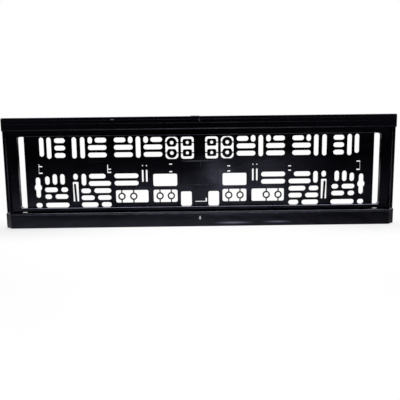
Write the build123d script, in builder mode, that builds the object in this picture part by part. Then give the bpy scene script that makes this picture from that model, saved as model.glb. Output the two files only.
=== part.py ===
"""Number plate holder: a perforated moulded base, and the bar that clips along its lower edge.

Millimetres. X runs along the plate, Z is up and the front faces -Y. The back of the base lies in the
plane y = 0, against the car, and the origin is on that plane behind the centre pad. Depths are given as
distances out from the back, so a depth d lies at y = -d.
"""

import math
import os

from build123d import *

# The number plate and the room around it
plate_width = 520.0
plate_height = 114.0
plate_middle = 1.6
plate_side_room = 0.7
plate_edge_room = 0.4
plate_depth_room = 2.2
lip_overlap = 1.4

# Outer frame of the base
side_wall = 2.0
side_wall_out = 11.0
rail_overhang = 1.6
rail_height = 17.5
rail_wall = 2.2
rail_cap_height = 8.8
rail_cap_step = 0.6
rail_brow_height = 4.2
rail_step_round = 0.25
rail_end_round = 3.0
rail_top_round = 0.6
rail_corner_round = 3.4
rail_pockets = 12
rail_rib = 1.6
rail_gate_width = 11.5
rail_gate_rise = 0.5
lip_wall = 2.2
lip_round = 1.05

# Floor of the base and the rib that the plate lies against
floor_thickness = 2.2
tray_side_inset = 17.5
tray_top_inset = 9.6
tray_bottom_inset = 8.1
tray_corner = 3.4
rib_wall = 1.2
rib_out = 7.6
rib_edge = 0.45
end_slot_width = 7.9

# Screw slots in the floor
slot_width = 6.5
slot_web = 1.0
slot_sill = 0.05
slot_end_flats = 5
upper_row = 43.75
row_pitch = 10.0
tall_slot = 29.0
tall_slot_top = 48.25
block_width = 25.7
short_slot = 16.2
small_slot = 9.0
outer_slot_width = 15.1
outer_slot_middle = 189.4

# Screw bosses above the centre pad
boss_window_width = 17.4
boss_window_height = 29.8
boss_window_middle = 32.1
boss_middle = 32.3
boss_pitch = 14.0
boss_out = 3.8
boss_web = 1.4
round_boss_middle = 37.6
round_boss_diameter = 13.7
round_boss_gap = 3.2
round_boss_hole = 5.0
square_boss_middle = 16.5
square_boss_width = 12.4
square_boss_height = 9.6
square_boss_hole = 4.2
round_window_corner = 5.0
square_window_corner = 2.8
window_corner = 2.0

# Screw rings below the middle
ring_middle = -33.5
ring_diameter = 10.2
ring_hole = 6.4
ring_web = 1.6
ring_window_height = 17.2

# Small moulded features
pad_width = 50.0
pad_top = 15.0
pad_bottom = -18.5
pad_rise = 1.0
pad_round = 0.9
tongue_width = 7.8
tongue_corner = 1.0
tongue_slit = 2.6
tongue_tip_gap = 2.0
tongue_bottom = -39.8
tongue_top = -12.7
tongue_middle = 170.1
tongue_lift = 5.0
keyhole_middle = 221.3
keyhole_level = -20.0
keyhole_length = 28.3
keyhole_width = 6.5
keyhole_eye = 10.2
latch_half_width = 11.4
latch_window_width = 14.8
latch_window_top = -27.6
latch_slit = 1.0
latch_slit_leg = 1.9
pip_rise = 1.4
pip_width = 4.0
pip_top_slit = 1.3
pip_bottom_slit = 1.8
pip_bottom = -0.1
thin_slit = 2.3
pin_hole = 1.8
drain_width = 6.6
drain_height = 0.7
drain_rise = 1.7

# Lower skirt of the base and the bar that clips onto it
clip_clearance = 0.2
bar_height = 21.0
bar_out = 12.6
bar_wall = 2.2
bar_end_facet = 8.8
bar_edge_round = 1.7
bar_crown = 0.6
bar_side_gap = 1.0
bar_overhang = 3.8
skirt_wall = 2.2
skirt_back = 3.2
skirt_inset = 1.0
hook_count = 5
hook_pitch = 105.0
hook_width = 10.0
hook_thickness = 2.0
hook_drop = 9.0
hook_barb = 1.6
hook_tip_out = 0.6
centre_groove = 0.5
gate_mark = 4.4
gate_mark_depth = 0.5

# Places worked out from the sizes above
seat_top = plate_middle + plate_height / 2 + plate_edge_room
seat_bottom = plate_middle - plate_height / 2 - plate_edge_room
lip_edge = plate_middle + plate_height / 2 - lip_overlap
bar_top = plate_middle - plate_height / 2 + lip_overlap
rail_top = lip_edge + rail_height
bar_bottom = bar_top - bar_height
base_half_width = plate_width / 2 + plate_side_room + side_wall
rail_half_width = base_half_width + rail_overhang
bar_half_width = base_half_width + bar_overhang
lip_back = rib_out + plate_depth_room
lip_out = lip_back + lip_wall
cap_out = lip_out + rail_cap_step
brow_back = lip_out + rail_cap_step / 2
tray_half_width = base_half_width - tray_side_inset
tray_top = seat_top - tray_top_inset
tray_bottom = seat_bottom + tray_bottom_inset
tray_middle = (tray_top + tray_bottom) / 2
tray_height = tray_top - tray_bottom
end_slot_inner = tray_half_width - end_slot_width
ledge_top = seat_bottom - bar_wall
ledge_bottom = ledge_top - skirt_wall
skirt_out = skirt_back + skirt_wall
skirt_bottom = bar_bottom + bar_wall + 2 * clip_clearance
skirt_half_width = base_half_width - skirt_inset
hook_top = ledge_top - hook_drop + hook_thickness
hook_bottom = hook_top - hook_thickness


def across(x):
    """A place along X, which is drawn for a tray of 245.2 mm to each side and spreads with the tray."""
    drawn_half_width = 245.2
    return x * tray_half_width / drawn_half_width


def level(z):
    """A level, which is drawn for a tray from -47.7 to 49.4 mm and spreads with the tray."""
    drawn_bottom, drawn_top = -47.7, 49.4
    return tray_bottom + (z - drawn_bottom) * tray_height / (drawn_top - drawn_bottom)


def clear_of_rib(x_outer, z_low, z_high):
    """True where an opening keeps a web to the end slots and stays inside the support rib."""
    return x_outer + slot_web <= end_slot_inner and z_low >= tray_bottom and z_high <= tray_top


def round_ended(length, width, rotation=0):
    """A slot whose round ends are made of flats, because the many slots would mesh too finely as arcs."""
    outline = []
    for end_middle, first_angle in (((length - width) / 2, -90), ((width - length) / 2, 90)):
        for flat in range(slot_end_flats + 1):
            angle = math.radians(first_angle + 180 * flat / slot_end_flats)
            outline.append((end_middle + width / 2 * math.cos(angle), width / 2 * math.sin(angle)))
    Polygon(*outline, rotation=rotation)


def round_cornered(width, height, corner, mode=Mode.ADD):
    """A rectangle whose round corners are made of two flats each."""
    inset = corner * (1 - math.sqrt(0.5))
    outline = []
    for side_x, side_y in ((1, 1), (-1, 1), (-1, -1), (1, -1)):
        flats = [
            (width / 2, height / 2 - corner),
            (width / 2 - inset, height / 2 - inset),
            (width / 2 - corner, height / 2),
        ]
        if side_x != side_y:
            flats.reverse()
        outline += [(side_x * x, side_y * y) for x, y in flats]
    Polygon(*outline, mode=mode)


def level_slots(x_from, x_to, z, outline=round_ended):
    """A level round-ended slot on each side of the middle."""
    x_from, x_to = across(x_from), across(x_to)
    if clear_of_rib(x_to, z - slot_width / 2, z + slot_width / 2):
        with Locations(((x_from + x_to) / 2, z), (-(x_from + x_to) / 2, z)):
            outline(x_to - x_from, slot_width)


def upright_slots(x, z_from, z_to, width=slot_width):
    """An upright round-ended slot on each side of the middle."""
    x = across(x)
    if clear_of_rib(x + width / 2, z_from, z_to):
        with Locations((x, (z_from + z_to) / 2), (-x, (z_from + z_to) / 2)):
            round_ended(z_to - z_from, width, rotation=90)


def split_row(x_from, x_web, x_to, z, web=4.2):
    """Two level slots end to end, with a web between them."""
    level_slots(x_from, x_web - web / 2, z)
    level_slots(x_web + web / 2, x_to, z)


def slot_block(x_from, small_slot_outside, middle_outline=round_ended):
    """Three rows of slots. The top row is short and leaves room for a small upright slot at one end."""
    x_to = x_from + block_width
    top_row, middle_row, bottom_row = upper_rows
    if small_slot_outside:
        level_slots(x_from, x_from + short_slot, top_row)
        small_slot_x = x_to - slot_width / 2
    else:
        level_slots(x_to - short_slot, x_to, top_row)
        small_slot_x = x_from + slot_width / 2
    upright_slots(small_slot_x, top_row - small_slot / 2, top_row + small_slot / 2)
    level_slots(x_from, x_to, middle_row, middle_outline)
    level_slots(x_from, x_to, bottom_row)


def window(x_from, x_to, z_from, z_to, corner=window_corner, outline=round_cornered):
    """A rectangular opening with rounded corners on each side of the middle."""
    x_from, x_to = across(x_from), across(x_to)
    middle_x, middle_z = (x_from + x_to) / 2, (z_from + z_to) / 2
    with Locations((middle_x, middle_z), (-middle_x, middle_z)):
        outline(x_to - x_from, z_to - z_from, corner)


upper_rows = [level(upper_row - row * row_pitch) for row in range(3)]
lowest_row = tray_bottom + slot_width / 2 + slot_sill
boss_rows = (level(boss_middle) - boss_pitch / 2, level(boss_middle) + boss_pitch / 2)
round_boss_places = [(across(side * round_boss_middle), z) for side in (-1, 1) for z in boss_rows]
square_boss_places = [(across(side * square_boss_middle), z) for side in (-1, 1) for z in boss_rows]
ring_pairs = ((30.9, 63.8, (39.5, 55.0)), (70.8, 115.5, (91.1, 107.4)))

# Each pip's place along X, the level of the slit above it, and the length by which the slit on its outer
# side goes past the pip, where it has one
pips = (
    (-216.3, 8.8, 2.6),
    (-122.9, 4.2, 5.6),
    (-39.6, 10.2, None),
    (39.6, 6.8, None),
    (122.9, 5.8, None),
    (216.2, 11.2, 0.0),
)

with BuildSketch(Plane.XZ) as floor_openings:
    # Long slot at each end, against the support rib
    with Locations((0, tray_middle)):
        RectangleRounded(2 * tray_half_width, tray_height, tray_corner)
        Rectangle(2 * end_slot_inner, 2 * tray_height, mode=Mode.SUBTRACT)

    # Upper rows: three blocks of slots, tall slots between them, and a ladder towards each end. The middle
    # slots of the second block take the upper screws, so their ends are true arcs.
    tall_to = level(tall_slot_top)
    slot_block(50.4, small_slot_outside=True)
    slot_block(90.5, small_slot_outside=False, middle_outline=SlotOverall)
    slot_block(125.9, small_slot_outside=True)
    for column in (83.3, 158.7, 169.9, 204.1):
        upright_slots(column, tall_to - tall_slot, tall_to)
    upright_slots(214.1, tall_to - tall_slot + 3.0, tall_to)
    ladder_from = outer_slot_middle - outer_slot_width / 2
    for row in upper_rows:
        level_slots(ladder_from, ladder_from + outer_slot_width, row)

    # Lower rows, between the middle and each end
    level_slots(83.8, 117.0, level(-5.2))
    level_slots(128.6, 151.6, level(-5.2))
    level_slots(83.8, 117.0, level(-15.2))
    level_slots(121.5, 152.2, level(-15.2))
    for row, web_x in ((level(-25.2), 147.3), (level(-34.8), 142.5), (lowest_row, 137.7)):
        split_row(121.6, web_x, 163.0, row)
    split_row(180.6, 192.5, 212.7, level(-23.2))
    split_row(180.6, 200.9, 212.7, level(-32.7))
    split_row(179.6, 214.4, 225.6, lowest_row)
    upright_slots(158.6, level(-18.0), level(-1.6))
    upright_slots(169.8, level(-9.8), level(-1.4))
    upright_slots(187.8, level(-16.2), level(-1.6))
    upright_slots(198.2, level(-16.2), level(-1.6))
    upright_slots(208.5, level(-16.2), level(-4.5))
    window(31.1, 63.8, level(-19.9), level(-3.0))

    # Keyhole slots near the ends
    keyhole_x, keyhole_z = across(keyhole_middle), level(keyhole_level)
    keyhole_bottom = keyhole_z - keyhole_length / 2
    keyhole_top = keyhole_z + keyhole_length / 2
    if clear_of_rib(keyhole_x + keyhole_eye / 2, keyhole_bottom, keyhole_top):
        upright_slots(keyhole_middle, keyhole_bottom, keyhole_top, keyhole_width)
        with Locations((keyhole_x, keyhole_z), (-keyhole_x, keyhole_z)):
            Circle(keyhole_eye / 2)

    # Boss windows: the bosses and their webs stay
    boss_window_bottom = level(boss_window_middle - boss_window_height / 2)
    boss_window_top = level(boss_window_middle + boss_window_height / 2)
    for middle, corner, outline in (
        (round_boss_middle, round_window_corner, RectangleRounded),
        (square_boss_middle, square_window_corner, round_cornered),
    ):
        side_from, side_to = middle - boss_window_width / 2, middle + boss_window_width / 2
        window(side_from, side_to, boss_window_bottom, boss_window_top, corner, outline)
    with Locations(*round_boss_places):
        Circle(round_boss_diameter / 2, mode=Mode.SUBTRACT)
    with Locations(*square_boss_places):
        round_cornered(square_boss_width, square_boss_height, window_corner, mode=Mode.SUBTRACT)
    with Locations(*round_boss_places, *square_boss_places):
        Rectangle(across(boss_window_width), boss_web, mode=Mode.SUBTRACT)
    gap_x, gap_z = across(round_boss_middle), level(boss_middle)
    with Locations((gap_x, gap_z), (-gap_x, gap_z)):
        Rectangle(round_boss_diameter, round_boss_gap)
    with Locations(*round_boss_places):
        Circle(round_boss_hole / 2)
    with Locations(*square_boss_places):
        Circle(square_boss_hole / 2)

    # Ring windows: the rings and their webs stay
    ring_window_bottom = level(ring_middle - ring_window_height / 2)
    ring_window_top = level(ring_middle + ring_window_height / 2)
    for window_from, window_to, rings in ring_pairs:
        window(window_from, window_to, ring_window_bottom, ring_window_top)
        with Locations(*[(across(side * ring), level(ring_middle)) for ring in rings for side in (-1, 1)]):
            Circle(ring_diameter / 2, mode=Mode.SUBTRACT)
            Rectangle(ring_web, ring_window_top - ring_window_bottom, mode=Mode.SUBTRACT)
            Circle(ring_hole / 2)

    # Latch tongue below the pad: a window each side of it and a slit above its foot
    latch_window_from = latch_half_width
    window(latch_window_from, latch_window_from + latch_window_width, tray_bottom, level(latch_window_top))
    with Locations((1.5, level(-41.7))):
        Rectangle(15.8, latch_slit)
    with Locations((9.4 - latch_slit_leg / 2, level(-41.7) - latch_slit / 2)):
        Rectangle(latch_slit_leg, 5.2, align=(Align.CENTER, Align.MIN))

    # Slits in the middle band: two or three sides around each pip, and upright pairs with pin holes above
    for column, pip_top, slit_past in pips:
        with Locations((across(column), level(pip_top))):
            Rectangle(pip_width, pip_top_slit)
        with Locations((across(column), level(pip_bottom))):
            Rectangle(pip_width, pip_bottom_slit)
        if slit_past is not None:
            slit_x = across(column) + math.copysign((pip_width + pip_top_slit) / 2, column)
            slit_from = level(pip_bottom) - pip_bottom_slit / 2
            slit_to = level(pip_top) + pip_top_slit / 2 + slit_past
            with Locations((slit_x, (slit_from + slit_to) / 2)):
                Rectangle(pip_top_slit, slit_to - slit_from)
    for column in (72.6, 78.0):
        upright_slots(column, level(-13.9), level(2.8), width=thin_slit)
        with Locations((across(column), level(8.5)), (across(-column), level(8.5))):
            RegularPolygon(pin_hole / 2, slot_end_flats)

    # Drain slits in the corners of the plate seat, below the end slots
    drain_middle = end_slot_inner + end_slot_width / 2
    with Locations((drain_middle, seat_bottom + drain_rise), (-drain_middle, seat_bottom + drain_rise)):
        Rectangle(drain_width, drain_height)

with BuildPart() as holder_base:
    # Top rail: its section runs along X, and its ends are rounded in plan and in front view
    with BuildSketch(Plane.YZ) as rail_section:
        with BuildLine():
            Polyline(
                (0, seat_top),
                (0, rail_top),
                (-cap_out, rail_top),
                (-cap_out, rail_top - rail_brow_height),
                (-brow_back, rail_top - rail_brow_height),
                (-brow_back, rail_top - rail_cap_height),
                (-lip_out, rail_top - rail_cap_height),
                (-lip_out, lip_edge),
                (-lip_back, lip_edge),
                (-lip_back, seat_top),
                close=True,
            )
        make_face()
        step_levels = rail_section.vertices().group_by(Axis.Y)[-3:-1]
        fillet([corners.sort_by(Axis.X)[0] for corners in step_levels], rail_step_round)
        fillet(rail_section.vertices().group_by(Axis.Y)[0], lip_round)
        fillet(rail_section.vertices().group_by(Axis.Y)[-1].sort_by(Axis.X)[0], rail_top_round)
    extrude(amount=rail_half_width, both=True)
    with BuildSketch(Plane.XY) as rail_plan:
        Rectangle(2 * rail_half_width, cap_out, align=(Align.CENTER, Align.MAX))
        fillet(rail_plan.vertices().group_by(Axis.Y)[0], rail_end_round)
    extrude(amount=2 * rail_top, mode=Mode.INTERSECT)
    with BuildSketch(Plane.XZ) as rail_front:
        with Locations((0, rail_top)):
            Rectangle(2 * rail_half_width, 2 * rail_height, align=(Align.CENTER, Align.MAX))
        fillet(rail_front.vertices().group_by(Axis.Y)[-1], rail_corner_round)
    extrude(amount=2 * cap_out, mode=Mode.INTERSECT)

    # A low land on top of the rail, left of the middle, where the moulding gate was trimmed off
    with Locations((-rail_gate_width / 2, -rail_top_round, rail_top - rail_gate_rise)):
        Box(
            rail_gate_width,
            cap_out - 2 * rail_top_round,
            2 * rail_gate_rise,
            align=(Align.CENTER, Align.MAX, Align.MIN),
        )

    # The rail is cored out from the back, with ribs between the pockets
    pocket_pitch = 2 * (base_half_width - rail_wall + rail_rib / 2) / rail_pockets
    pocket_middle = (seat_top + rail_top) / 2
    with BuildSketch(Plane.XZ):
        with Locations((0, pocket_middle)):
            with GridLocations(pocket_pitch, 1, rail_pockets, 1):
                Rectangle(pocket_pitch - rail_rib, rail_top - seat_top - 2 * rail_wall)
    extrude(amount=lip_out - lip_wall, mode=Mode.SUBTRACT)

    # Floor, then the two side walls
    with BuildSketch(Plane.XZ):
        with Locations((0, ledge_bottom)):
            Rectangle(2 * base_half_width, seat_top - ledge_bottom, align=(Align.CENTER, Align.MIN))
    extrude(amount=floor_thickness)
    side_bottom = bar_top + bar_side_gap
    with BuildSketch(Plane.XZ):
        for side in (-1, 1):
            with Locations((side * (base_half_width - side_wall / 2), side_bottom)):
                Rectangle(side_wall, seat_top - side_bottom, align=(Align.CENTER, Align.MIN))
    extrude(amount=side_wall_out)

    # Support rib around the tray, which the back of the plate lies against
    with BuildSketch(Plane.XZ):
        with Locations((0, tray_middle)):
            rib_width = 2 * (tray_half_width + rib_wall)
            RectangleRounded(rib_width, tray_height + 2 * rib_wall, tray_corner + rib_wall)
            RectangleRounded(2 * tray_half_width, tray_height, tray_corner, mode=Mode.SUBTRACT)
    extrude(amount=rib_out)
    rib_front = holder_base.faces().filter_by(Axis.Y).filter_by_position(Axis.Y, -rib_out, -rib_out)
    chamfer(rib_front.edges(), rib_edge)

    # Centre pad and pips on the front of the floor
    with BuildSketch(Plane.XZ):
        with Locations((0, level((pad_top + pad_bottom) / 2))):
            Rectangle(pad_width, level(pad_top) - level(pad_bottom))
    pad_out = floor_thickness + pad_rise
    extrude(amount=pad_out)
    pad_front = holder_base.faces().filter_by(Axis.Y).filter_by_position(Axis.Y, -pad_out, -pad_out)
    fillet(pad_front.edges(), pad_round)
    with BuildSketch(Plane.XZ):
        for column, pip_top, slit_past in pips:
            pip_from = level(pip_bottom) + pip_bottom_slit / 2
            pip_to = level(pip_top) - pip_top_slit / 2
            with Locations((across(column), (pip_from + pip_to) / 2)):
                Rectangle(pip_width, pip_to - pip_from)
    extrude(amount=floor_thickness + pip_rise)

    # Bosses stand a little proud of the floor
    with BuildSketch(Plane.XZ):
        with Locations(*round_boss_places):
            Circle(round_boss_diameter / 2)
        with Locations(*square_boss_places):
            round_cornered(square_boss_width, square_boss_height, window_corner)
    extrude(amount=boss_out)

    # Spring tongues: each rises forward from the foot of its own opening, to press on the plate
    with BuildSketch(Plane.XZ):
        tongue_from, tongue_to = tongue_middle - tongue_width / 2, tongue_middle + tongue_width / 2
        window(tongue_from, tongue_to, level(tongue_bottom), level(tongue_top), tongue_corner)
    extrude(amount=floor_thickness, mode=Mode.SUBTRACT)
    tongue_root = level(tongue_bottom)
    tongue_tip = level(tongue_top) - tongue_tip_gap
    tongue_body = tongue_width - 2 * tongue_slit
    with BuildPart(mode=Mode.PRIVATE) as tongue:
        with BuildSketch(Plane.XZ) as tongue_outline:
            with Locations((0, tongue_tip)):
                Rectangle(tongue_body, 2 * (tongue_tip - tongue_root), align=(Align.CENTER, Align.MAX))
            fillet(tongue_outline.vertices().group_by(Axis.Y)[-1], 0.49 * tongue_body)
        extrude(amount=rib_out)
        with BuildSketch(Plane.YZ):
            with BuildLine():
                Polyline(
                    (0, tongue_root),
                    (-floor_thickness, tongue_root),
                    (-floor_thickness - tongue_lift, tongue_tip),
                    (-tongue_lift, tongue_tip),
                    close=True,
                )
            make_face()
        extrude(amount=tongue_width, both=True, mode=Mode.INTERSECT)
    with Locations((across(tongue_middle), 0), (across(-tongue_middle), 0)):
        add(tongue.part)

    # Ledge and skirt behind the bar, with a catch window for each hook
    with BuildSketch(Plane.YZ):
        with BuildLine():
            Polyline(
                (0, ledge_top),
                (-skirt_out, ledge_top),
                (-skirt_out, skirt_bottom),
                (-skirt_back, skirt_bottom),
                (-skirt_back, ledge_bottom),
                (0, ledge_bottom),
                close=True,
            )
        make_face()
    extrude(amount=skirt_half_width, both=True)
    with BuildSketch(Plane.XZ.offset(skirt_back)):
        catch_top = hook_top + 2 * clip_clearance
        catch_bottom = hook_bottom - 2 * clip_clearance
        with Locations((0, (catch_top + catch_bottom) / 2)):
            with GridLocations(hook_pitch, 1, hook_count, 1):
                Rectangle(hook_width + 4 * clip_clearance, catch_top - catch_bottom)
    extrude(amount=skirt_wall, mode=Mode.SUBTRACT)

    # Every other opening goes through the floor, and through the bosses
    extrude(floor_openings.sketch, amount=boss_out, mode=Mode.SUBTRACT)
holder_base.part.label = "holder_base"

with BuildPart() as retaining_bar:
    # Bar body: in plan a facet cuts off each front corner, the front face is crowned and the back is open
    bar_back = floor_thickness + clip_clearance
    with BuildSketch(Plane.XY.offset(bar_bottom)) as bar_plan:
        with Locations((0, -bar_back)):
            Rectangle(2 * bar_half_width, bar_out - bar_back, align=(Align.CENTER, Align.MAX))
        chamfer(bar_plan.vertices().group_by(Axis.Y)[0], bar_end_facet)
    extrude(amount=bar_height)
    with BuildSketch(Plane.YZ):
        with BuildLine():
            edge_out = bar_out - bar_crown
            face_middle = (bar_bottom + bar_top) / 2
            ThreePointArc((-edge_out, bar_bottom), (-bar_out, face_middle), (-edge_out, bar_top))
            Polyline((-edge_out, bar_top), (0, bar_top), (0, bar_bottom), (-edge_out, bar_bottom))
        make_face()
    extrude(amount=bar_half_width, both=True, mode=Mode.INTERSECT)
    for rim in (0, -1):
        rim_edges = retaining_bar.edges().group_by(Axis.Z)[rim]
        back_edge = rim_edges.sort_by(Axis.Y)[-1]
        fillet(rim_edges - [back_edge], bar_edge_round)

    # The space behind the lip, where the lower edge of the plate stands, and the hollow of the bar
    with BuildSketch(Plane.XY) as hollow_plan:
        with Locations((0, -bar_back)):
            hollow_width = 2 * (bar_half_width - bar_wall)
            Rectangle(hollow_width, bar_out - bar_back - bar_wall, align=(Align.CENTER, Align.MAX))
        chamfer(hollow_plan.vertices().group_by(Axis.Y)[0], bar_end_facet - (2 - math.sqrt(2)) * bar_wall)
    extrude(Plane.XY.offset(seat_bottom) * hollow_plan.sketch, amount=bar_height, mode=Mode.SUBTRACT)
    hollow_bottom = bar_bottom + bar_wall
    hollow_height = ledge_top - hollow_bottom
    extrude(Plane.XY.offset(hollow_bottom) * hollow_plan.sketch, amount=hollow_height, mode=Mode.SUBTRACT)

    # Groove across the middle of the front, with the moulding gate's mark on it
    with Locations((0, -bar_out, bar_bottom)):
        Box(centre_groove, centre_groove, 2 * bar_height, mode=Mode.SUBTRACT)
    gate_sphere = (gate_mark**2 / 4 + gate_mark_depth**2) / (2 * gate_mark_depth)
    with Locations((0, -bar_out - gate_sphere + gate_mark_depth, bar_bottom + bar_height * 0.55)):
        Sphere(gate_sphere, mode=Mode.SUBTRACT)

    # Snap hooks that reach back through the catch windows
    catch_out = skirt_back - clip_clearance
    hook_root = bar_out - bar_wall / 2
    with BuildSketch(Plane.YZ) as hook_section:
        with BuildLine():
            Polyline(
                (-hook_root, hook_top),
                (-hook_tip_out, hook_top),
                (-hook_tip_out, hook_bottom),
                (-catch_out, hook_bottom - hook_barb),
                (-catch_out, hook_bottom),
                (-hook_root, hook_bottom),
                close=True,
            )
        make_face()
    hook = extrude(hook_section.sketch, amount=hook_width / 2, both=True, mode=Mode.PRIVATE)
    with GridLocations(hook_pitch, 1, hook_count, 1):
        add(hook)
retaining_bar.part.label = "retaining_bar"

os.makedirs("parts", exist_ok=True)
export_step(holder_base.part, "parts/holder_base.step")
export_step(retaining_bar.part, "parts/retaining_bar.step")
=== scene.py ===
import math

import bmesh
import bpy
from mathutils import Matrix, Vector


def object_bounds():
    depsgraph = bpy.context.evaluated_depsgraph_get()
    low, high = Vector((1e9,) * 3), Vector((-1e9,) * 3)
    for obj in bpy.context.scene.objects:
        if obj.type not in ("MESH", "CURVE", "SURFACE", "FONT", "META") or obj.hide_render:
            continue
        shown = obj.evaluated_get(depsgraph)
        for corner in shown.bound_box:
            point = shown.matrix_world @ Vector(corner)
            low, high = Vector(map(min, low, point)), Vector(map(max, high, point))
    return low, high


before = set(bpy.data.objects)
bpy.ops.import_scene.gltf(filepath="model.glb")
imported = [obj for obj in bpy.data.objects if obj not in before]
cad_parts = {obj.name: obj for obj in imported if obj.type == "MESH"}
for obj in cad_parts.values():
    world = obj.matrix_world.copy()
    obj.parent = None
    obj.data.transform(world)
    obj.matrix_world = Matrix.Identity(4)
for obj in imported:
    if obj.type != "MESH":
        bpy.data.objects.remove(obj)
cad_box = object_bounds()
scene = bpy.context.scene
scene.view_settings.view_transform = "Standard"


# Holder base: one large injection moulding of black plastic, with the rail, the side walls and the
# perforated floor in one piece. The tool is polished, so the skin is glossy, with the fine grain, slow
# sink waves, flow marks, hairline scratches and specks of dust that a thin moulding shows.
def wire(links, step, **inputs):
    """Feeds a node's named inputs, each from an output socket or a plain value."""
    for name, given in inputs.items():
        socket = step.inputs[name.replace("_", " ")]
        if isinstance(given, bpy.types.NodeSocket):
            links.new(given, socket)
        else:
            socket.default_value = given


def combined(tree, operation, *values):
    """One value from several, taken together one after another."""
    total = values[0]
    for value in values[1:]:
        step = tree.nodes.new("ShaderNodeMath")
        step.operation = operation
        tree.links.new(total, step.inputs[0])
        tree.links.new(value, step.inputs[1])
        total = step.outputs["Value"]
    return total


def moulded_skin_group():
    """The skin that both mouldings share. Heights are in metres."""
    group = bpy.data.node_groups.new("moulded_skin", "ShaderNodeTree")
    for name in ("Grain Height", "Wave Height", "Gloss Low", "Gloss High"):
        group.interface.new_socket(name, in_out="INPUT", socket_type="NodeSocketFloat")
    for name in ("Plastic", "Dust"):
        group.interface.new_socket(name, in_out="INPUT", socket_type="NodeSocketColor")
    group.interface.new_socket("Color", in_out="OUTPUT", socket_type="NodeSocketColor")
    for name in ("Roughness", "Height"):
        group.interface.new_socket(name, in_out="OUTPUT", socket_type="NodeSocketFloat")
    nodes, links = group.nodes, group.links
    given = nodes.new("NodeGroupInput").outputs
    result = nodes.new("NodeGroupOutput").inputs
    place = nodes.new("ShaderNodeTexCoord").outputs["Object"]

    def noise(scale, detail, stretch=(1.0, 1.0, 1.0), turn=0.0):
        mapping = nodes.new("ShaderNodeMapping")
        wire(links, mapping, Vector=place, Scale=stretch, Rotation=(0.0, math.radians(turn), 0.0))
        texture = nodes.new("ShaderNodeTexNoise")
        wire(links, texture, Vector=mapping.outputs["Vector"], Scale=scale, Detail=detail)
        return texture.outputs["Fac"]

    def ranged(value, low, high, to_low=0.0, to_high=1.0):
        spread = nodes.new("ShaderNodeMapRange")
        wire(links, spread, Value=value, From_Min=low, From_Max=high, To_Min=to_low, To_Max=to_high)
        return spread.outputs["Result"]

    grain = noise(scale=1400.0, detail=2.0)
    wave = noise(scale=24.0, detail=3.0, stretch=(0.6, 1.0, 1.0))
    flow = noise(scale=55.0, detail=4.0, stretch=(0.25, 1.0, 1.0))

    hairline = (0.03, 1.0, 1.0)
    handled = ranged(noise(scale=18.0, detail=2.0), low=0.50, high=0.68)
    level_scratch = ranged(noise(scale=620.0, detail=2.0, stretch=hairline, turn=9.0), low=0.66, high=0.72)
    slant_scratch = ranged(noise(scale=540.0, detail=2.0, stretch=hairline, turn=-38.0), low=0.68, high=0.73)
    scratch = combined(group, "MULTIPLY", combined(group, "MAXIMUM", level_scratch, slant_scratch), handled)
    scratch_dull = ranged(scratch, low=0.0, high=1.0, to_high=0.14)
    scratch_pale = ranged(scratch, low=0.0, high=1.0, to_high=0.35)
    gloss = ranged(flow, low=0.35, high=0.65, to_low=given["Gloss Low"], to_high=given["Gloss High"])

    specks = nodes.new("ShaderNodeTexVoronoi")
    wire(links, specks, Vector=place, Scale=380.0)
    speck = ranged(specks.outputs["Distance"], low=0.16, high=0.08)
    settled = ranged(flow, low=0.55, high=0.75)
    dust = combined(group, "MULTIPLY", speck, settled)

    colour = nodes.new("ShaderNodeMix")
    colour.data_type = "RGBA"
    links.new(combined(group, "MAXIMUM", dust, scratch_pale), colour.inputs["Factor"])
    links.new(given["Plastic"], colour.inputs["A"])
    links.new(given["Dust"], colour.inputs["B"])

    grain_relief = combined(group, "MULTIPLY", grain, given["Grain Height"])
    wave_relief = combined(group, "MULTIPLY", wave, given["Wave Height"])
    links.new(colour.outputs["Result"], result["Color"])
    links.new(combined(group, "ADD", gloss, scratch_dull), result["Roughness"])
    links.new(combined(group, "ADD", grain_relief, wave_relief), result["Height"])
    return group


def moulding_mark_and_highlight_group():
    """A soft oval spot on a moulding, used both for moulding marks such as an ejector pin's print and for
    painted highlights such as the glint on a gate mark.
    """
    group = bpy.data.node_groups.new("moulding_mark_and_highlight", "ShaderNodeTree")
    for name in ("Middle", "Reach"):
        group.interface.new_socket(name, in_out="INPUT", socket_type="NodeSocketVector")
    group.interface.new_socket("Mask", in_out="OUTPUT", socket_type="NodeSocketFloat")
    nodes, links = group.nodes, group.links
    given = nodes.new("NodeGroupInput").outputs
    result = nodes.new("NodeGroupOutput").inputs
    place = nodes.new("ShaderNodeTexCoord").outputs["Object"]
    mapping = nodes.new("ShaderNodeMapping")
    mapping.vector_type = "TEXTURE"
    wire(links, mapping, Vector=place, Location=given["Middle"], Scale=given["Reach"])
    fade = nodes.new("ShaderNodeTexGradient")
    fade.gradient_type = "SPHERICAL"
    wire(links, fade, Vector=mapping.outputs["Vector"])
    edge = nodes.new("ShaderNodeMapRange")
    edge.interpolation_type = "SMOOTHSTEP"
    wire(links, edge, Value=fade.outputs["Fac"], From_Min=0.0, From_Max=0.45)
    links.new(edge.outputs["Result"], result["Mask"])
    return group


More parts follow.
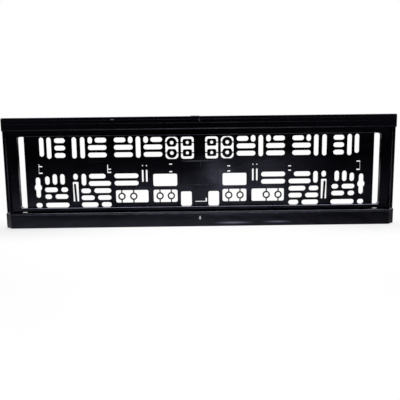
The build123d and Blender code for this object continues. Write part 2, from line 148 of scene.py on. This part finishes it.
def painted_highlight_line_group():
    """A painted highlight along an edge that runs along X: a thin uneven pale line at one level, on what
    stands out past Out.

    The line is whole until one distance from the middle, and fades away by another.
    """
    group = bpy.data.node_groups.new("painted_highlight_line", "ShaderNodeTree")
    for name in ("Level", "Half Width", "Whole Until", "Gone By", "Out", "Highlight"):
        group.interface.new_socket(name, in_out="INPUT", socket_type="NodeSocketFloat")
    group.interface.new_socket("Mask", in_out="OUTPUT", socket_type="NodeSocketFloat")
    nodes, links = group.nodes, group.links
    given = nodes.new("NodeGroupInput").outputs
    result = nodes.new("NodeGroupOutput").inputs
    place = nodes.new("ShaderNodeTexCoord").outputs["Object"]
    axes = nodes.new("ShaderNodeSeparateXYZ")
    wire(links, axes, Vector=place)

    def distance(value):
        step = nodes.new("ShaderNodeMath")
        step.operation = "ABSOLUTE"
        links.new(value, step.inputs[0])
        return step.outputs["Value"]

    from_level = distance(combined(group, "SUBTRACT", axes.outputs["Z"], given["Level"]))
    line = nodes.new("ShaderNodeMapRange")
    line.interpolation_type = "SMOOTHSTEP"
    wire(links, line, Value=from_level, From_Min=given["Half Width"], From_Max=0.0)

    from_middle = distance(axes.outputs["X"])
    along = nodes.new("ShaderNodeMapRange")
    wire(links, along, Value=from_middle, From_Min=given["Gone By"], From_Max=given["Whole Until"])

    proud = combined(group, "LESS_THAN", axes.outputs["Y"], given["Out"])

    stretch = nodes.new("ShaderNodeMapping")
    wire(links, stretch, Vector=place, Scale=(1.0, 0.1, 0.1))
    uneven = nodes.new("ShaderNodeTexNoise")
    wire(links, uneven, Vector=stretch.outputs["Vector"], Scale=70.0, Detail=3.0)
    patchy = nodes.new("ShaderNodeMapRange")
    wire(links, patchy, Value=uneven.outputs["Fac"], From_Min=0.30, From_Max=0.65, To_Min=0.45, To_Max=1.0)

    shares = [line.outputs["Result"], along.outputs["Result"], proud, patchy.outputs["Result"]]
    links.new(combined(group, "MULTIPLY", given["Highlight"], *shares), result["Mask"])
    return group


moulded_skin = moulded_skin_group()
moulding_mark_and_highlight = moulding_mark_and_highlight_group()
painted_highlight_line = painted_highlight_line_group()
# Colour and roughness of the highlight lines that are painted along edges.
painted_highlight_colour = (0.10, 0.10, 0.115, 1.0)
painted_highlight_dull = 0.42


def black_plastic(name, marks, painted_lines, **skin_values):
    """A glossy black plastic with the moulded skin, its oval spots (moulding marks and painted highlights)
    and the highlight lines painted along its edges.
    """
    material = bpy.data.materials.new(name)
    material.use_nodes = True
    nodes, links = material.node_tree.nodes, material.node_tree.links
    shader = nodes["Principled BSDF"]
    shader.inputs["Specular IOR Level"].default_value = 0.5
    shader.inputs["Specular Tint"].default_value = (0.70, 0.72, 1.0, 1.0)
    skin = nodes.new("ShaderNodeGroup")
    skin.node_tree = moulded_skin
    wire(links, skin, **skin_values)
    spots = []
    for mark in marks:
        oval = nodes.new("ShaderNodeGroup")
        oval.node_tree = moulding_mark_and_highlight
        wire(links, oval, Middle=mark["middle"], Reach=mark["reach"])
        spots.append((oval.outputs["Mask"], mark["colour"], mark["dull"]))
    for edge in painted_lines:
        line = nodes.new("ShaderNodeGroup")
        line.node_tree = painted_highlight_line
        wire(links, line, **edge)
        spots.append((line.outputs["Mask"], painted_highlight_colour, painted_highlight_dull))
    colour, roughness = skin.outputs["Color"], skin.outputs["Roughness"]
    for mask, spot_colour, spot_dull in spots:
        spotted = nodes.new("ShaderNodeMix")
        spotted.data_type = "RGBA"
        links.new(mask, spotted.inputs["Factor"])
        links.new(colour, spotted.inputs["A"])
        spotted.inputs["B"].default_value = spot_colour
        colour = spotted.outputs["Result"]
        dulled = nodes.new("ShaderNodeMix")
        links.new(mask, dulled.inputs["Factor"])
        links.new(roughness, dulled.inputs["A"])
        dulled.inputs["B"].default_value = spot_dull
        roughness = dulled.outputs["Result"]
    bump = nodes.new("ShaderNodeBump")
    bump.inputs["Distance"].default_value = 1.0
    links.new(skin.outputs["Height"], bump.inputs["Height"])
    links.new(colour, shader.inputs["Base Color"])
    links.new(roughness, shader.inputs["Roughness"])
    links.new(bump.outputs["Normal"], shader.inputs["Normal"])
    return material


# Oval spots on the base: moulding marks (pin prints, weld lines) and painted highlights (pad outline, side
# walls).
base_marks_and_highlights = []

pin_print_colour = (0.0008, 0.0008, 0.0010, 1.0)
for pin_x in (-0.0042, 0.0046):
    pin_print = {"middle": (pin_x, -0.0027, -0.0225), "reach": (0.0016, 0.0025, 0.0018)}
    base_marks_and_highlights.append({**pin_print, "colour": pin_print_colour, "dull": 0.65})

weld_line_look = {"colour": (0.020, 0.020, 0.024, 1.0), "dull": 0.45}
pad_weld_line = {"middle": (0.0010, -0.0034, 0.0105), "reach": (0.0006, 0.0030, 0.0050)}
base_marks_and_highlights.append({**pad_weld_line, **weld_line_look})

# Painted highlight: a pale outline along the pad's top, bottom and right edges, where those edges would catch
# the light.
pad_outline_highlight_look = {"colour": (0.040, 0.040, 0.048, 1.0), "dull": 0.45}
for pad_edge_level in (0.0138, -0.0184):
    pad_edge = {"middle": (0.0, -0.0034, pad_edge_level), "reach": (0.030, 0.0030, 0.0008)}
    base_marks_and_highlights.append({**pad_edge, **pad_outline_highlight_look})
pad_right_edge = {"middle": (0.0247, -0.0034, -0.0022), "reach": (0.0008, 0.0030, 0.021)}
base_marks_and_highlights.append({**pad_right_edge, **pad_outline_highlight_look})

rail_weld_line = {"middle": (0.0002, -0.0125, 0.0697), "reach": (0.0016, 0.004, 0.0032)}
base_marks_and_highlights.append({**rail_weld_line, **weld_line_look})

# A small pale dash painted near the rail's top edge.
rail_pale_dash = {"middle": (-0.1155, -0.0125, 0.0713), "reach": (0.0034, 0.004, 0.0008)}
base_marks_and_highlights.append({**rail_pale_dash, "colour": (0.16, 0.16, 0.18, 1.0), "dull": 0.50})

# Painted highlight: a pale upright strip on the front of each side wall, near its inner edge.
side_wall_highlight_colour = (0.050, 0.050, 0.058, 1.0)
for wall_x in (-0.2606, 0.2606):
    side_wall_highlight = {"middle": (wall_x, -0.0055, -0.0080), "reach": (0.0012, 0.0030, 0.085)}
    base_marks_and_highlights.append({**side_wall_highlight, "colour": side_wall_highlight_colour, "dull": 0.45})

# Painted highlight lines, pale and a little rougher, along the rail's lip edge, the two steps on its cap and
# the upper and lower ribs.
whole_rail = {"Whole Until": 0.0, "Gone By": 0.30}
lip_edge = {"Level": 0.0584, "Half Width": 0.0009, "Out": -0.0110, "Highlight": 0.72, **whole_rail}
cap_step = {"Level": 0.0660, "Half Width": 0.0006, "Out": -0.0115, "Highlight": 0.36, **whole_rail}
brow_step = {"Level": 0.0706, "Half Width": 0.0006, "Out": -0.0115, "Highlight": 0.24, **whole_rail}
upper_rib = {"Level": 0.0500, "Half Width": 0.0010, "Out": -0.0072, "Highlight": 0.65}
upper_rib_run = {"Whole Until": 0.236, "Gone By": 0.243}
lower_rib = {"Level": -0.0475, "Half Width": 0.0007, "Out": -0.0066, "Highlight": 0.85}
lower_rib_run = {"Whole Until": 0.03, "Gone By": 0.20}

base_plastic = black_plastic(
    "base_black_plastic",
    marks=base_marks_and_highlights,
    painted_lines=[lip_edge, cap_step, brow_step, {**upper_rib, **upper_rib_run}, {**lower_rib, **lower_rib_run}],
    Plastic=(0.0008, 0.0008, 0.0012, 1.0),
    Dust=(0.020, 0.020, 0.024, 1.0),
    Gloss_Low=0.09,
    Gloss_High=0.16,
    Grain_Height=0.000003,
    Wave_Height=0.00030,
)
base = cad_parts["holder_base"]
base.data.materials.clear()
base.data.materials.append(base_plastic)


# Retaining bar: a slim channel of the same plastic, moulded separately and clipped over the base's lower
# edge to hold the plate in. A pale spot is painted at the middle of its crowned face as a glint on the gate
# mark.
gate_glint = {
    "middle": (-0.0004, -0.0123, -0.0627),
    "reach": (0.0015, 0.0040, 0.0030),
    "colour": (0.80, 0.80, 0.84, 1.0),
    "dull": 0.55,
}
bar_weld_line = {
    "middle": (-0.0006, -0.0123, -0.0690),
    "reach": (0.0006, 0.0040, 0.0050),
    "colour": (0.0006, 0.0006, 0.0008, 1.0),
    "dull": 0.60,
}
# Painted highlight line along the bar's rounded top edge.
bar_lip = {"Level": -0.0563, "Half Width": 0.0016, "Out": -0.0105, "Highlight": 0.78}
bar_lip_run = {"Whole Until": 0.04, "Gone By": 0.42}
bar_plastic = black_plastic(
    "bar_black_plastic",
    marks=[gate_glint, bar_weld_line],
    painted_lines=[{**bar_lip, **bar_lip_run}],
    Plastic=(0.0010, 0.0010, 0.0015, 1.0),
    Dust=(0.022, 0.022, 0.026, 1.0),
    Gloss_Low=0.12,
    Gloss_High=0.18,
    Grain_Height=0.0000025,
    Wave_Height=0.00012,
)
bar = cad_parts["retaining_bar"]
bar.data.materials.clear()
bar.data.materials.append(bar_plastic)


# Studio: a pale floor that the holder stands on, a white backdrop behind and a broad soft lamp above. The
# room in front is dark, so the glossy plastic stays black and mirrors only the glow painted on the paper for
# glossy rays.
floor_level = cad_box[0][2]
floor_reach = 3.0
floor_mesh = bpy.data.meshes.new("studio_floor")
floor_shape = bmesh.new()
bmesh.ops.create_grid(floor_shape, x_segments=1, y_segments=1, size=floor_reach)
bmesh.ops.translate(floor_shape, verts=floor_shape.verts, vec=(0.0, 0.0, floor_level))
floor_shape.to_mesh(floor_mesh)
floor_shape.free()
floor = bpy.data.objects.new("studio_floor", floor_mesh)
scene.collection.objects.link(floor)

paper = bpy.data.materials.new("white_paper")
paper.use_nodes = True
paper_tree = paper.node_tree
paper_nodes, paper_links = paper_tree.nodes, paper_tree.links
paper_nodes.clear()
paper_place = paper_nodes.new("ShaderNodeTexCoord").outputs["Object"]


def paper_patch(middle, reach, strength):
    """A soft oval patch on the paper, full in its middle and fading out at its reach along X and Y."""
    patch_place = paper_nodes.new("ShaderNodeMapping")
    patch_place.vector_type = "TEXTURE"
    wire(paper_links, patch_place, Vector=paper_place, Location=(*middle, floor_level), Scale=(*reach, 1.0))
    fade = paper_nodes.new("ShaderNodeTexGradient")
    fade.gradient_type = "SPHERICAL"
    wire(paper_links, fade, Vector=patch_place.outputs["Vector"])
    patch = paper_nodes.new("ShaderNodeMapRange")
    patch.interpolation_type = "SMOOTHSTEP"
    wire(paper_links, patch, Value=fade.outputs["Fac"], To_Max=strength)
    return patch.outputs["Result"]


# The paper that the camera sees: white, and a little of it matt under the holder, where the lamp's shadow
# falls; the matt share is painted in patches, strongest at the left and right ends, so where and how strongly
# that shadow shows is painted
paper_ray = paper_nodes.new("ShaderNodeLightPath").outputs
matt = paper_nodes.new("ShaderNodeBsdfDiffuse")
matt.inputs["Color"].default_value = (0.52, 0.52, 0.53, 1.0)
white = paper_nodes.new("ShaderNodeEmission")
white.inputs["Strength"].default_value = 1.0
shaded = [
    paper_patch(middle=(-0.28, 0.0), reach=(0.25, 0.55), strength=0.36),
    paper_patch(middle=(0.27, 0.0), reach=(0.18, 0.55), strength=0.29),
    paper_patch(middle=(0.0, 0.0), reach=(0.75, 0.55), strength=0.06),
]
plain_white = paper_nodes.new("ShaderNodeMath")
plain_white.operation = "SUBTRACT"
plain_white.inputs[0].default_value = 1.0
paper_links.new(combined(paper_tree, "ADD", *shaded), plain_white.inputs[1])
seen = combined(paper_tree, "MAXIMUM", paper_ray["Is Camera Ray"], paper_ray["Is Transmission Ray"])
seen_white = combined(paper_tree, "MULTIPLY", seen, plain_white.outputs["Value"])
paper_seen = paper_nodes.new("ShaderNodeMixShader")
paper_links.new(seen_white, paper_seen.inputs["Fac"])
paper_links.new(matt.outputs["BSDF"], paper_seen.inputs[1])
paper_links.new(white.outputs["Emission"], paper_seen.inputs[2])

# Painted reflections: glow on the paper that only glossy rays see, laid in patches so that the glossy plastic
# mirrors light at chosen places; near the holder it is even, with two small bright spots that lay light
# smears on the bar, and farther off it is cloudy
near_reflection_glow = [
    paper_patch(middle=(-0.10, 0.02), reach=(0.48, 0.20), strength=0.50),
    paper_patch(middle=(0.046, -0.028), reach=(0.033, 0.008), strength=5.0),
    paper_patch(middle=(0.108, -0.031), reach=(0.025, 0.007), strength=4.2),
]
far_reflection_glow = [
    paper_patch(middle=(0.03, -0.33), reach=(0.30, 0.24), strength=0.74),
    paper_patch(middle=(0.052, -0.70), reach=(0.045, 0.42), strength=2.2),
    paper_patch(middle=(0.18, -0.75), reach=(0.10, 0.42), strength=0.85),
    paper_patch(middle=(0.27, -1.05), reach=(0.16, 0.40), strength=0.40),
    paper_patch(middle=(-0.30, -0.23), reach=(0.20, 0.20), strength=0.18),
    paper_patch(middle=(0.0, -0.40), reach=(1.0, 0.90), strength=0.18),
    paper_patch(middle=(-0.10, 0.55), reach=(0.70, 0.50), strength=0.65),
    paper_patch(middle=(0.65, 0.05), reach=(0.45, 0.70), strength=0.35),
    paper_patch(middle=(-0.70, 0.35), reach=(0.45, 0.45), strength=0.30),
]
cloud_place = paper_nodes.new("ShaderNodeMapping")
wire(paper_links, cloud_place, Vector=paper_place, Scale=(40.0, 4.0, 1.0))
cloud = paper_nodes.new("ShaderNodeTexNoise")
wire(paper_links, cloud, Vector=cloud_place.outputs["Vector"], Scale=1.0, Detail=2.0)
broken = paper_nodes.new("ShaderNodeMapRange")
wire(paper_links, broken, Value=cloud.outputs["Fac"], From_Min=0.35, From_Max=0.65, To_Min=0.3, To_Max=1.7)
all_far_reflection_glow = combined(paper_tree, "ADD", *far_reflection_glow)
cloudy_reflection_glow = combined(paper_tree, "MULTIPLY", all_far_reflection_glow, broken.outputs["Result"])
mirrored = paper_nodes.new("ShaderNodeEmission")
paper_links.new(combined(paper_tree, "ADD", *near_reflection_glow, cloudy_reflection_glow), mirrored.inputs["Strength"])
paper_all = paper_nodes.new("ShaderNodeMixShader")
paper_links.new(paper_ray["Is Glossy Ray"], paper_all.inputs["Fac"])
paper_links.new(paper_seen.outputs["Shader"], paper_all.inputs[1])
paper_links.new(mirrored.outputs["Emission"], paper_all.inputs[2])
paper_surface = paper_nodes.new("ShaderNodeOutputMaterial")
paper_links.new(paper_all.outputs["Shader"], paper_surface.inputs["Surface"])
floor_mesh.materials.append(paper)

world = bpy.data.worlds.new("white_surround")
scene.world = world
world.use_nodes = True
world_tree = world.node_tree
world_nodes, world_links = world_tree.nodes, world_tree.links
world_nodes.clear()
way = world_nodes.new("ShaderNodeSeparateXYZ")
wire(world_links, way, Vector=world_nodes.new("ShaderNodeTexCoord").outputs["Generated"])
room_light = []
for axis, towards, strength in (("X", -1.0, 0.26), ("X", 1.0, 0.26), ("Y", 1.0, 0.04), ("Z", 1.0, 0.25)):
    side_light = world_nodes.new("ShaderNodeMapRange")
    wire(world_links, side_light, Value=way.outputs[axis], From_Max=towards, To_Max=strength)
    room_light.append(side_light.outputs["Result"])
room = world_nodes.new("ShaderNodeBackground")
room.inputs["Color"].default_value = (0.92, 0.95, 1.0, 1.0)
world_links.new(combined(world_tree, "ADD", *room_light), room.inputs["Strength"])
white_back = world_nodes.new("ShaderNodeBackground")
white_back.inputs["Color"].default_value = (1.0, 1.0, 1.0, 1.0)
world_ray = world_nodes.new("ShaderNodeLightPath").outputs
behind = world_nodes.new("ShaderNodeMapRange")
behind.interpolation_type = "SMOOTHSTEP"
wire(world_links, behind, Value=way.outputs["Y"], From_Min=0.0, From_Max=0.5)
mirrored_back = combined(world_tree, "MULTIPLY", world_ray["Is Glossy Ray"], behind.outputs["Result"])
shown = [world_ray["Is Camera Ray"], world_ray["Is Transmission Ray"], mirrored_back]
world_mix = world_nodes.new("ShaderNodeMixShader")
world_links.new(combined(world_tree, "MAXIMUM", *shown), world_mix.inputs["Fac"])
world_links.new(room.outputs["Background"], world_mix.inputs[1])
world_links.new(white_back.outputs["Background"], world_mix.inputs[2])
surround = world_nodes.new("ShaderNodeOutputWorld")
world_links.new(world_mix.outputs["Shader"], surround.inputs["Surface"])

softbox = bpy.data.lights.new("overhead_softbox", "AREA")
softbox.shape = "RECTANGLE"
softbox.size = 0.9
softbox.size_y = 0.55
softbox.energy = 13.0
softbox_stand = bpy.data.objects.new("overhead_softbox", softbox)
softbox_stand.location = (0.03, 0.03, 0.62)
scene.collection.objects.link(softbox_stand)


# Camera: in front of the holder and a little above it, looking slightly down, as the photograph does.
camera = bpy.data.cameras.new("front_camera")
camera.sensor_width = 36.0
camera.lens = 50.03
camera_stand = bpy.data.objects.new("front_camera", camera)
camera_stand.location = (-0.005489, -0.757964, 0.079842)
camera_stand.rotation_euler = (math.radians(81.0007), math.radians(0.6611), math.radians(-0.5081))
scene.collection.objects.link(camera_stand)
scene.camera = camera_stand
